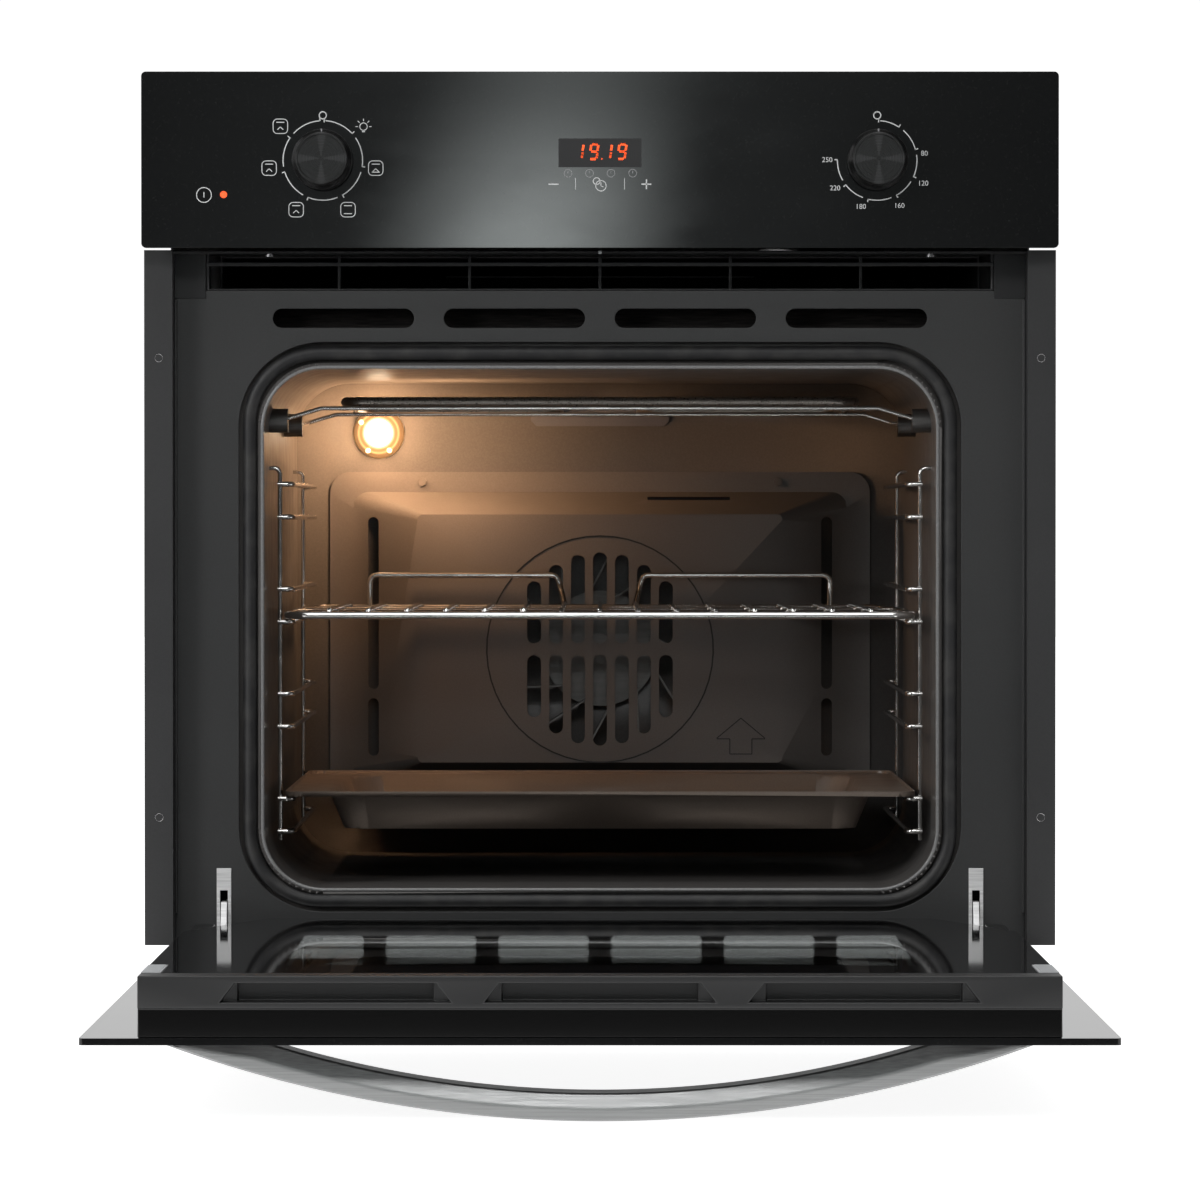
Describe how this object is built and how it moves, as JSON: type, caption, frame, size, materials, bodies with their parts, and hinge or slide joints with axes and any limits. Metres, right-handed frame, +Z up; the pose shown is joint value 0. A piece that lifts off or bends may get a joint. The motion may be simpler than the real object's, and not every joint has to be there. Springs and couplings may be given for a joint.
{
  "type": "built-in oven",
  "caption": "Built-in electric oven with a drop-down glass door, bow handle, round knobs, side racks, wire shelf, baking tray and fan cover.",
  "frame": {"origin": "centre of the flat underside of the base pan", "axes": "+Z up, +X right seen from the front, +Y to the rear; the open door reaches out along -Y"},
  "size_m": [0.595, 1.0124, 0.6374],
  "materials": {
    "painted_frame": "satin",
    "galvanised_sheet": "satin",
    "black_glass": "gloss",
    "clear_glass": "gloss",
    "mirror_glass": "gloss",
    "black_plastic": "matte",
    "knob_plastic": "satin",
    "door_black": "satin",
    "cavity_enamel": "gloss",
    "wool": "matte",
    "seal_rubber": "matte",
    "chrome_wire": "gloss",
    "heater_steel": "satin",
    "satin_steel": "satin",
    "zinc_steel": "satin",
    "lamp_glow": "gloss",
    "socket_ceramic": "matte",
    "board_green": "matte",
    "display_black": "gloss",
    "indicator_amber": "gloss",
    "clip_grey": "matte"
  },
  "bodies": {
    "cabinet": {"front_frame": "painted_frame", "side_panel_left": "painted_frame", "side_panel_right": "painted_frame", "element_flange": "painted_frame", "top_cover": "galvanised_sheet", "rear_panel": "galvanised_sheet", "base_pan": "galvanised_sheet", "air_duct": "galvanised_sheet", "blower_housing": "galvanised_sheet", "control_panel": "black_glass", "lamp_lens": "clear_glass", "panel_carrier": "black_plastic", "air_outlet_trim": "black_plastic", "outlet_end_caps": "black_plastic", "function_switch": "black_plastic", "thermostat": "black_plastic", "terminal_block": "black_plastic", "cavity_liner": "cavity_enamel", "fan_baffle": "cavity_enamel", "insulation_slabs": "wool", "door_gasket": "seal_rubber", "side_rack_left": "chrome_wire", "side_rack_right": "chrome_wire", "element_support": "chrome_wire", "grill_element": "heater_steel", "bottom_element": "heater_steel", "hinge_receivers": "zinc_steel", "hinge_arm_left": "zinc_steel", "hinge_arm_right": "zinc_steel", "hinge_pins": "zinc_steel", "outlet_screws": "zinc_steel", "baffle_screws": "zinc_steel", "wall_nuts": "zinc_steel", "fan_motor": "zinc_steel", "blower_motor": "zinc_steel", "lamp_bulb": "lamp_glow", "lamp_socket": "socket_ceramic", "control_board": "board_green", "display_module": "display_black", "indicator_lens": "indicator_amber"},
    "door": {"door_outer_glass": "black_glass", "door_middle_glass": "clear_glass", "door_inner_glass": "mirror_glass", "door_side_left": "door_black", "door_side_right": "door_black", "door_top_trim": "black_plastic", "door_bottom_rail": "door_black", "hinge_channel_left": "galvanised_sheet", "hinge_channel_right": "galvanised_sheet", "door_handle": "satin_steel", "handle_screws": "zinc_steel", "glass_clips": "clip_grey"},
    "function_dial": {"function_knob": "knob_plastic", "function_spindle": "zinc_steel"},
    "temperature_dial": {"temperature_knob": "knob_plastic", "temperature_spindle": "zinc_steel"},
    "wire_shelf_body": {"wire_shelf": "chrome_wire"},
    "baking_tray_body": {"baking_tray": "cavity_enamel"},
    "convection_wheel": {"convection_fan": "zinc_steel"},
    "cooling_wheel": {"blower_rotor": "zinc_steel"}
  },
  "joints": [
    {"name": "door_hinge", "type": "hinge", "parent": "cabinet", "child": "door", "pos_m": [0, -0.291, 0.0196], "axis": [-1, 0, 0], "range_deg": [0, 90]},
    {"name": "function_turn", "type": "hinge", "parent": "cabinet", "child": "function_dial", "pos_m": [-0.1797, -0.284, 0.5374], "axis": [0, 1, 0], "continuous": true},
    {"name": "temperature_turn", "type": "hinge", "parent": "cabinet", "child": "temperature_dial", "pos_m": [0.1797, -0.284, 0.5374], "axis": [0, 1, 0], "range_deg": [0, 275]},
    {"name": "shelf_slide", "type": "slide", "parent": "cabinet", "child": "wire_shelf_body", "axis": [0, 1, 0], "range_m": [-0.25, 0]},
    {"name": "tray_slide", "type": "slide", "parent": "cabinet", "child": "baking_tray_body", "axis": [0, 1, 0], "range_m": [-0.25, 0]},
    {"name": "fan_spin", "type": "hinge", "parent": "cabinet", "child": "convection_wheel", "pos_m": [0, 0.136, 0.2109], "axis": [0, 1, 0], "continuous": true},
    {"name": "blower_spin", "type": "hinge", "parent": "cabinet", "child": "cooling_wheel", "pos_m": [0, 0.061, 0.521], "axis": [1, 0, 0], "continuous": true}
  ]
}
